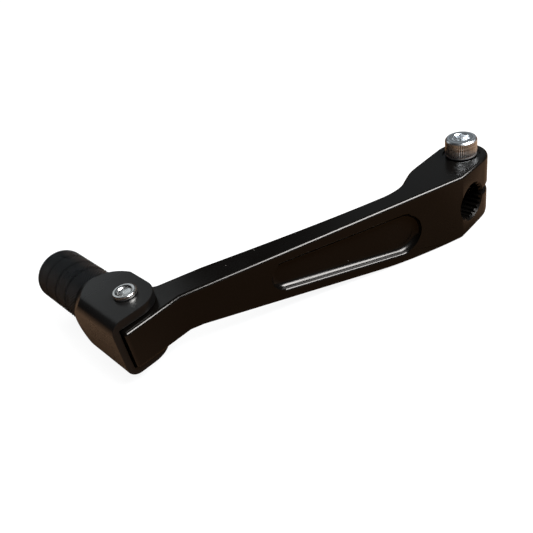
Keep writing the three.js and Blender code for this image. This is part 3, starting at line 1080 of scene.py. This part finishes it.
    def mouth(self) -> Workpiece:
        """The conical tool that eases the splined bore on the inner face."""
        ease = self.bore_mouth
        cone = [(self.tooth_root + 2 * ease, -ease), (self.tooth_root - 2 * ease, 3 * ease)]
        return turned("bore_mouth_tool", cone, count=96).place((0, 0, 0), Axis.OUTWARD)

    def bore_bolt(self, piece: Workpiece) -> None:
        """Bores the clamp for its bolt, with the spot face for the bolt's head.

        Args:
            piece: The lever.
        """
        x, y = self.bolt.xy
        seat = [(self.seat_radius, self.seat), (self.seat_radius, BEYOND)]
        hole = [(self.bolt_hole, -BEYOND), (self.bolt_hole, BEYOND)]
        ease = countersink(self.seat_radius, self.edge_ease, self.top + self.top_slope * x)
        for tool in (turned("seat_tool", seat), turned("bolt_hole_tool", hole), ease):
            piece.combine(Cut.AWAY, tool.place((x, y, 0)))

    def bore_eye(self, piece: Workpiece) -> None:
        """Bores the eye for its bushing, with the spring's chamber below.

        Args:
            piece: The lever.
        """
        x, y = self.pivot.xy
        hole = [(self.eye_hole, -BEYOND), (self.eye_hole, BEYOND)]
        chamber = [(self.chamber, -BEYOND), (self.chamber, self.chamber_top)]
        for tool in (turned("eye_tool", hole), turned("chamber_tool", chamber)):
            piece.combine(Cut.AWAY, tool.place((x, y, 0)))
        out, width, reach = self.leg_slot
        low = (x, y + out - width / 2, self.chamber_top - width)
        piece.combine(Cut.AWAY, box("leg_tool", low, (x + reach, y + out + width / 2, self.chamber_top)))


# ---- Fasteners and turned pieces ----


@dataclass
class PinchBolt:
    """The socket head bolt across the clamp's slit, with a knurled head."""

    ribs: int = 46
    rib_depth: float = 0.00022
    head: float = 0.006
    rim: float = 0.0006
    foot: float = 0.0009
    plain_depth: float = 0.00012
    corner: float = 0.0004
    crown: float = 0.0007
    across_flats: float = 0.005
    socket_depth: float = 0.003
    shank: float = 0.00295
    pitch: float = 0.001

    def profile(self, radius: float, low: float, high: float) -> list[Station]:
        """The bolt's profile from its end to the rim of its top.

        Args:
            radius: Radius of the head over its ribs.
            low: Height of the bolt's end.
            high: Height of the head's top.

        Returns:
            Radius and height of each station.
        """
        base = high - self.head
        plain = radius - self.plain_depth
        shank = threads(self.shank, low + 0.5 * self.pitch, base - 2 * self.pitch, self.pitch)
        return [
            (self.shank - THREAD_DEPTH, low), *shank,
            (self.shank, base - 1.5 * self.pitch), (self.shank, base),
            (radius - self.corner, base), (plain, base + 0.75 * self.corner), (plain, base + self.foot),
            (radius, base + self.foot + 0.25 * self.corner), (radius, high - self.rim - 0.5 * self.corner),
            (plain, high - self.rim), (radius - self.corner, high - 0.45 * self.corner),
            (radius - self.crown, high),
        ]

    def build(self, finish: TurnedMetal) -> None:
        """Models and dresses the bolt.

        Args:
            finish: Its plating.
        """
        low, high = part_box("pinch_bolt")
        x, y = ((low + high) / 2).xy
        radius = (high.x - low.x) / 2
        piece = turned("pinch_bolt_knurled", self.profile(radius, low.z, high.z), 2 * self.ribs)
        self.knurl(piece, radius, high.z - self.head + self.foot, high.z - self.rim)
        piece.combine(Cut.AWAY, *socket_tools(self.across_flats, self.socket_depth, high.z))
        piece.place((x, y, 0))
        piece.finish("lever", "bolt_zinc", ["pinch_bolt"], finish.material("bright_bolt", (x, y, 0), Axis.UP))

    def knurl(self, piece: Workpiece, radius: float, low: float, high: float) -> None:
        """Draws every other corner of the head inwards, which leaves straight ribs.

        Args:
            piece: The bolt, on its own axis.
            radius: Radius over the ribs.
            low: Height where the ribs start.
            high: Height where they end.
        """
        step = math.pi / self.ribs

        def is_groove(vert: bmesh.types.BMVert) -> bool:
            """True for a corner of the head's side that lies between two ribs."""
            on_side = low < vert.co.z < high and vert.co.xy.length > radius - self.rib_depth
            return on_side and round(math.atan2(vert.co.y, vert.co.x) / step) % 2 == 1

        piece.edit().select(Part.VERT, is_groove)
        size = 1 - self.rib_depth / radius
        bpy.ops.transform.resize(value=(size, size, 1), center_override=(0, 0, 0))
        piece.leave()


@dataclass
class PegScrew:
    """The countersunk screw that holds the toe peg, seen in the peg's end."""

    shank: float = 0.00295
    across_flats: float = 0.004
    socket_depth: float = 0.0024
    pitch: float = 0.001
    edge: Point = (0.0001, 0.0002)

    def build(self, finish: TurnedMetal) -> None:
        """Models and dresses the screw.

        Args:
            finish: Its plating.
        """
        low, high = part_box("peg_screw")
        middle = (low + high) / 2
        radius = (high.x - low.x) / 2
        neck = high.y - (radius - self.shank)
        inward, down = self.edge
        stations = [(self.shank - THREAD_DEPTH, low.y)]
        stations += threads(self.shank, low.y + 0.5 * self.pitch, neck - self.pitch, self.pitch)
        stations += [(self.shank, neck - 0.3 * self.pitch), (self.shank, neck),
                     (radius - inward, high.y - down), (radius - inward, high.y)]
        piece = turned("peg_screw_threaded", stations, count=48)
        piece.combine(Cut.AWAY, *socket_tools(self.across_flats, self.socket_depth, high.y))
        centre = (middle.x, 0, middle.z)
        piece.place(centre, Axis.OUTWARD)
        zinc = finish.material("bright_screw", centre, Axis.OUTWARD)
        piece.finish("tip", "screw_zinc", ["peg_screw"], zinc)


@dataclass
class PivotPin:
    """The headed pin that the tip folds on, staked over below."""

    shank: float = 0.0025
    head: float = 0.0011
    # The crown, the dish's floor and the foot, inwards from their rims and up or down from their ends.
    crown: tuple[Point, ...] = (
        (0, 0.00042), (0.00004, 0.00024), (0.00014, 0.0001), (0.00028, 0.00002), (0.00045, 0), (0.0008, 0),
        (0.001, 0.00004))
    recess: float = 0.0022
    recess_depth: float = 0.00065
    dish: tuple[Point, ...] = ((0.00035, 0.0001), (0.0006, 0))
    dish_rim: Point = (0.0001, 0.00018)
    centre: float = 0.0001
    stake: float = 0.0021
    foot: tuple[Point, ...] = ((0.0004, 0), (0.0001, 0.0002), (0, 0.0005))

    def profile(self, radius: float, low: float, high: float) -> list[Station]:
        """The pin's profile from its staked foot, up its shank and into the dish of its head.

        Args:
            radius: Radius of the head.
            low: Height of the pin's foot.
            high: Height of its top.

        Returns:
            Radius and height of each station.
        """
        floor = high - self.recess_depth
        made = [(self.centre, low + self.head), (self.stake, low)]
        made += [(radius - inward, low + up) for inward, up in self.foot]
        made += [(radius, low + self.head), (self.shank, low + self.head)]
        made += [(self.shank, high - self.head), (radius, high - self.head)]
        made += [(radius - inward, high - down) for inward, down in self.crown]
        made += [(self.recess - self.dish_rim[0], high - self.dish_rim[1])]
        made += [(self.recess - inward, floor + up) for inward, up in self.dish]
        return made + [(self.centre, floor)]

    def build(self, finish: TurnedMetal) -> None:
        """Models and dresses the pin.

        Args:
            finish: Its plating.
        """
        low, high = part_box("pivot_pin")
        x, y = ((low + high) / 2).xy
        radius = (high.x - low.x) / 2
        piece = turned("pivot_pin_staked", self.profile(radius, low.z, high.z))
        piece.place((x, y, 0))
        piece.finish("tip", "pin_steel", ["pivot_pin"], finish.material("bright_pin", (x, y, 0), Axis.UP))


# ---- The folding tip ----


@dataclass
class TipBracket:
    """The forked bracket that folds on the eye and carries the toe peg."""

    plate: float = 0.0027
    slot_reach: float = 0.0089
    web: float = 0.0022
    left_rounding: float = 0.0036
    upper_corner: float = 0.008
    lower_corner: float = 0.0096
    ease: float = 0.00022
    edge_rub: float = 0.33
    # Radius and distance from the pivot at the start, bend and end of the turned shoulder.
    turning: tuple[Point, ...] = ((0.0127, 0.0069), (0.0117, 0.0124), (0.0088, 0.0163))
    turning_ease: float = 0.0002
    pin_hole: float = 0.0028
    screw_hole: float = 0.00325
    # Offset from the pivot and radius of the hole for the spring's other leg.
    foot_hole: Place = (0.0, -0.0038, 0.0012)
    pivot: Vector = field(default_factory=PIVOT.copy)

    def fork(self) -> Workpiece:
        """The block with its left edges rounded, slotted for the eye, and its open corners rounded.

        Returns:
            The fork, in object mode.
        """
        low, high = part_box("tip_bracket")
        piece = box("tip_bracket_machined", low, high).edit()
        piece.select(Part.EDGE, lambda e: self.is_left_edge(e, low)).bevel(self.left_rounding, segments=10)
        slot = [(low.x + self.web, -BEYOND, low.z + self.plate),
                (BEYOND, self.pivot.y + self.slot_reach, high.z - self.plate)]
        piece.leave().combine(Cut.AWAY, box("slot_tool", *slot)).edit()
        for radius, lower in ((self.upper_corner, False), (self.lower_corner, True)):
            piece.select(Part.EDGE, lambda e: self.is_corner(e, low, high, lower)).bevel(radius, segments=14)
        return piece.tidy().select(Part.EDGE, sharp).bevel(self.ease, 2, EDGE).leave()

    def is_left_edge(self, edge: Edge, low: Vector) -> bool:
        """True for the level edges of the block's left face, given the block's lowest corner."""
        first, last = (v.co for v in edge.verts)
        return max(abs(first.x - low.x), abs(last.x - low.x), abs(first.z - last.z)) < NEAR

    def is_corner(self, edge: Edge, low: Vector, high: Vector, lower: bool) -> bool:
        """Says whether an edge is the upright one at the open corner of a plate.

        Args:
            edge: The edge.
            low: The block's lowest corner.
            high: Its highest corner.
            lower: True for the lower plate.

        Returns:
            True if it is.
        """
        middle = middle_of(edge)
        upright = abs(edge.verts[0].co.z - edge.verts[1].co.z) > 0.5 * self.plate
        at_corner = abs(middle.x - high.x) < NEAR and abs(middle.y - low.y) < NEAR
        return upright and at_corner and (middle.z < (low.z + high.z) / 2) == lower

    def build(self, finish: BlackAnodise) -> None:
        """Models and dresses the bracket.

        Args:
            finish: Its skin.
        """
        x, y = self.pivot.xy
        peg = sum(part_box("toe_peg"), Vector()) / 2
        axis = (peg.x, y, peg.z)
        shoulder = sweep(*self.turning, steps=14)
        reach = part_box("tip_bracket")[1].y - y
        ease, last = self.turning_ease, shoulder[-1][0]
        profile = [(shoulder[0][0], -BEYOND), *shoulder, (last, reach - ease), (last - ease, reach)]
        piece = self.fork()
        piece.combine(Cut.COMMON, turned("turning_tool", profile, count=96).place(axis, Axis.OUTWARD))
        hole = turned("pin_tool", [(self.pin_hole, -BEYOND), (self.pin_hole, BEYOND)])
        drill = turned("screw_tool", [(self.screw_hole, 0), (self.screw_hole, BEYOND)], count=48)
        dx, dy, radius = self.foot_hole
        foot = turned("foot_tool", [(radius, -BEYOND), (radius, 0)], count=24)
        piece.combine(Cut.AWAY, hole.place((x, y, 0)), drill.place(axis, Axis.OUTWARD),
                      foot.place((x + dx, y + dy, 0)))
        piece.finish("tip", "bracket_body", ["tip_bracket"], finish.face("satin_black_bracket"),
                     finish.edge("rubbed_black_bracket", self.edge_rub))


@dataclass(frozen=True)
class Band:
    """One knurled band of the toe peg, measured from the peg's base."""

    floor: float
    start: float
    end: float
    ease: float
    rows: int

    def levels(self) -> list[float]:
        """Heights of the rows of half diamonds."""
        length = self.end - self.ease - self.start
        return [self.start + length * row / self.rows for row in range(self.rows + 1)]


@dataclass
class ToePeg:
    """The turned toe peg with its four bands of diamond knurl."""

    diamonds: int = 50
    depth: float = 0.00042
    pitch: float = 0.0062
    groove: float = 0.0006
    groove_depth: float = 0.0013
    spigot: float = 0.0063
    neck: float = 0.0007
    end_ease: float = 0.0009
    # The rounded end, inwards and outwards, in shares of its ease.
    end_curve: tuple[Point, ...] = ((0.12, 0.5), (0.45, 0.85), (1, 1))
    bore: float = 0.00325
    mouth: float = 0.0059
    sink: float = 0.0006
    bands: int = 4

    def plan_bands(self, radius: float, length: float) -> list[Band]:
        """Lays out the bands along the peg.

        Args:
            radius: Radius over the knurl.
            length: Length of the peg.

        Returns:
            The bands, from the base outwards.
        """
        half_diamond = math.pi * radius / self.diamonds
        made = []
        for index in range(self.bands):
            last = index == self.bands - 1
            floor = radius - self.groove_depth if index else self.spigot
            start = self.neck + index * self.pitch
            end = length if last else start + self.pitch - self.groove
            ease = self.end_ease if last else 0
            rows = 2 * round((end - start - ease) / (2 * half_diamond))
            made.append(Band(floor, start, end, ease, rows))
        return made

    def profile(self, bands: Sequence[Band], radius: float, length: float) -> list[Station]:
        """The peg's closed profile, from the bore at its base round to the bore again.

        Args:
            bands: The knurled bands.
            radius: Radius over the knurl.
            length: Length of the peg.

        Returns:
            Radius and height of each station.
        """
        made = [(self.bore, 0), (self.spigot, 0)]
        for band in bands:
            made += [(band.floor, band.start)] + [(radius, level) for level in band.levels()]
            if band.ease:
                root = band.end - band.ease
                made += [(radius - down * band.ease, root + out * band.ease) for down, out in self.end_curve]
            else:
                made += [(radius - self.groove_depth, band.end)]
        seat = length - self.sink
        cone_end = seat - (self.mouth - self.bore)
        return made + [(self.mouth, length), (self.mouth, seat), (self.bore, cone_end), made[0]]

    def build(self, finish: BlackAnodise) -> None:
        """Models and dresses the peg.

        Args:
            finish: Its skin.
        """
        low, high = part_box("toe_peg")
        middle = (low + high) / 2
        radius, length = (high.x - low.x) / 2, high.y - low.y
        bands = self.plan_bands(radius, length)
        piece = turned("toe_peg_knurled", self.profile(bands, radius, length), 2 * self.diamonds)
        self.knurl(piece, radius, bands)
        piece.place((middle.x, low.y, middle.z), Axis.OUTWARD)
        skin = finish.points("satin_black_peg", middle, radius - self.depth, radius)
        piece.finish("tip", "peg_body", ["toe_peg"], skin)

    def knurl(self, piece: Workpiece, radius: float, bands: Sequence[Band]) -> None:
        """Draws every other corner of the bands inwards and splits the quads along the grooves.

        Args:
            piece: The peg, on its own axis.
            radius: Radius at the diamonds' points.
            bands: The knurled bands.
        """
        step = math.pi / self.diamonds
        parities = [(level, row % 2) for band in bands for row, level in enumerate(band.levels())]

        def is_crossing(vert: bmesh.types.BMVert) -> bool:
            """True for a corner where two grooves cross."""
            odd = next((parity for level, parity in parities if abs(vert.co.z - level) < 2 * NEAR), None)
            turn = round(math.atan2(vert.co.y, vert.co.x) / step)
            return odd is not None and vert.co.xy.length > radius - 10 * NEAR and (turn + odd) % 2 == 1

        def is_knurled(face: Face) -> bool:
            """True for a square between four corners of the knurl."""
            deepest = radius - 1.2 * self.depth
            return len(face.verts) == 4 and all(v.co.xy.length > deepest for v in face.verts)

        piece.edit().select(Part.VERT, is_crossing)
        size = 1 - self.depth / radius
        bpy.ops.transform.resize(value=(size, size, 1), center_override=(0, 0, 0))
        piece.select(Part.FACE, is_knurled)
        bpy.ops.mesh.quads_convert_to_tris(quad_method="SHORTEST_DIAGONAL")
        piece.leave()


@dataclass
class HiddenPieces:
    """The bushing and the return spring inside the eye, kept as the CAD has them."""

    def dress(self, bronze: TurnedMetal, steel: TurnedMetal) -> None:
        """Gives both their finishes.

        Args:
            bronze: The bushing's metal.
            steel: The spring's metal.
        """
        pieces = (("pivot_bushing", bronze, "bronze"), ("return_spring", steel, "oiled_steel"))
        for node, metal, name in pieces:
            obj = frame["nodes"][node]
            obj.data.materials.clear()
            obj.data.materials.append(metal.material(name, PIVOT, Axis.UP))
            LOG.info("%s: kept, in %s", node, name)


# ---- The studio ----


@dataclass(frozen=True)
class Softbox:
    """One soft light panel, placed by its direction from the lever."""

    name: str
    direction: Place
    distance: float
    size: tuple[float, float]
    watts: float
    colour: Colour = (1.0, 1.0, 1.0)
    mirrored: bool = True

    def hang(self, target: Vector) -> None:
        """Puts up the light, aimed at a point.

        Args:
            target: Where it aims.
        """
        data = bpy.data.lights.new(self.name, "AREA")
        data.shape = "RECTANGLE"
        data.size, data.size_y = self.size
        data.energy = self.watts
        data.color = self.colour
        lamp = bpy.data.objects.new(self.name, data)
        bpy.context.scene.collection.objects.link(lamp)
        way = Vector(self.direction).normalized()
        lamp.location = target + way * self.distance
        lamp.rotation_euler = way.to_track_quat("Z", "Y").to_euler()
        lamp.visible_glossy = self.mirrored


@dataclass
class Studio:
    """The floor, the lights and the camera."""

    camera: Place = (-0.15135, -0.08638, 0.1047)
    heading: float = math.radians(53.09)
    tilt: float = math.radians(34.92)
    roll: float = math.radians(-12.87)
    lens: float = 40.1
    floor_size: float = 6.0
    floor_drop: float = 0.0002
    pale: Colour = (0.12, 0.12, 0.12)
    # Painted reflection: the colours that the black faces see in the floor, warm, and dim as painted shade
    # beside the arm.
    painted_warm_reflection: Colour = (0.155, 0.092, 0.055)
    painted_shade_reflection: Colour = (0.068, 0.034, 0.0135)
    # Where the floor's painted reflection turns from painted shade beside the arm to warm, towards the toe
    # end and the clamp end.
    shade_fade_toe: tuple[float, float] = (-0.095, -0.125)
    shade_fade_clamp: tuple[float, float] = (-0.005, 0.015)
    clamp_share: float = 0.8
    lift: float = 0.9
    air: Colour = (0.006, 0.006, 0.007)
    lights: tuple[Softbox, ...] = (
        Softbox("key_softbox", (0.22, -0.61, 0.76), 0.7, (0.42, 0.3), 13.0, (0.93, 0.97, 1.0)),
        Softbox("right_panel", (0.79, 0.32, 0.53), 0.9, (0.6, 0.5), 0.17, (0.82, 0.93, 1.0)),
        Softbox("back_panel", (0.05, 0.83, 0.55), 0.9, (0.5, 0.5), 0.48, (0.86, 0.95, 1.0)),
        Softbox("overhead", (0.0, 0.1, 1.0), 2.2, (2.4, 2.4), 60.0, (1.0, 1.0, 1.0), False),
    )

    def build(self) -> None:
        """Sets up the studio."""
        low, high = CAD_BOX
        target = (low + high) / 2
        self.lay_floor(low.z - self.floor_drop)
        for light in self.lights:
            light.hang(target)
        self.set_camera()
        scene = bpy.context.scene
        scene.world = bpy.data.worlds.new("studio_air")
        scene.world.use_nodes = True
        scene.world.node_tree.nodes["Background"].inputs["Color"].default_value = (*self.air, 1)
        scene.view_settings.view_transform = "Standard"
        LOG.info("studio: %d lights", len(self.lights))

    def lay_floor(self, level: float) -> None:
        """Lays the pale floor, whose reflection in the black faces is painted: warm at the ends, with painted
        shade beside the arm.

        Args:
            level: Its height.
        """
        Workpiece.clear()
        bpy.ops.mesh.primitive_plane_add(size=self.floor_size, location=(0, 0, level))
        bpy.ops.object.transform_apply(location=True, rotation=True, scale=True)
        floor = Workpiece("floor")
        matt = {"Roughness": 0.9, "Specular_IOR_Level": 0.1, "Emission_Color": (1.0, 1.0, 1.0, 1.0)}
        material, tree, shader = begin("pale_floor", **matt)
        seen = tree.add("ShaderNodeLightPath").outputs["Is Camera Ray"]
        place = tree.add("ShaderNodeTexCoord").outputs["Object"]
        x = tree.add("ShaderNodeSeparateXYZ", Vector=place).outputs["X"]
        clamp_end = tree.span(x, *self.shade_fade_clamp, 0, self.clamp_share)
        ends = tree.math("ADD", tree.span(x, *self.shade_fade_toe), clamp_end)
        # Painted reflection for all but camera rays, warm with painted shade beside the arm; the camera sees
        # the floor pale.
        mirrored = tree.mix(ends, self.painted_shade_reflection, self.painted_warm_reflection)
        glow = tree.math("MULTIPLY", seen, self.lift)
        tree.feed(shader, Base_Color=tree.mix(seen, mirrored, self.pale), Emission_Strength=glow)
        floor.obj.data.materials.append(material)

    def set_camera(self) -> None:
        """Places the camera at its height above the clamp end of the floor, looking down the lever."""
        data = bpy.data.cameras.new("camera")
        data.lens = self.lens
        data.clip_start = 0.01
        eye = bpy.data.objects.new("camera", data)
        bpy.context.scene.collection.objects.link(eye)
        level = math.cos(self.tilt)
        look = Vector((level * math.cos(self.heading), level * math.sin(self.heading), -math.sin(self.tilt)))
        eye.location = self.camera
        turn = look.to_track_quat("-Z", "Y") @ Quaternion((0, 0, 1), self.roll)
        eye.rotation_euler = turn.to_euler()
        bpy.context.scene.camera = eye


def main() -> None:
    """Builds the studio and the lever, piece by piece."""
    logging.basicConfig(level=logging.INFO, format="%(message)s")
    bright_zinc = TurnedMetal()
    dull_zinc = TurnedMetal(light=(0.92, 0.94, 0.96), dark=(0.66, 0.67, 0.68), gloss=(0.24, 0.38))
    bronze = TurnedMetal(light=(0.62, 0.42, 0.2), dark=(0.4, 0.26, 0.11), gloss=(0.3, 0.45))
    oiled_steel = TurnedMetal(light=(0.34, 0.34, 0.35), dark=(0.2, 0.2, 0.21), gloss=(0.25, 0.4))
    black = BlackAnodise()
    clean_black = BlackAnodise(colour=(0.003, 0.0028, 0.0027), gloss=(0.24, 0.33), dust_share=0.02)
    deep_black = BlackAnodise(colour=(0.0005, 0.0005, 0.0005), tint=(0.9, 0.96, 1.0), gloss=(0.24, 0.32))
    Studio().build()
    LeverArm().build(black)
    PinchBolt().build(dull_zinc)
    TipBracket().build(clean_black)
    PivotPin().build(bright_zinc)
    ToePeg().build(deep_black)
    PegScrew().build(bright_zinc)
    HiddenPieces().dress(bronze, oiled_steel)


if __name__ == "__main__":
    main()
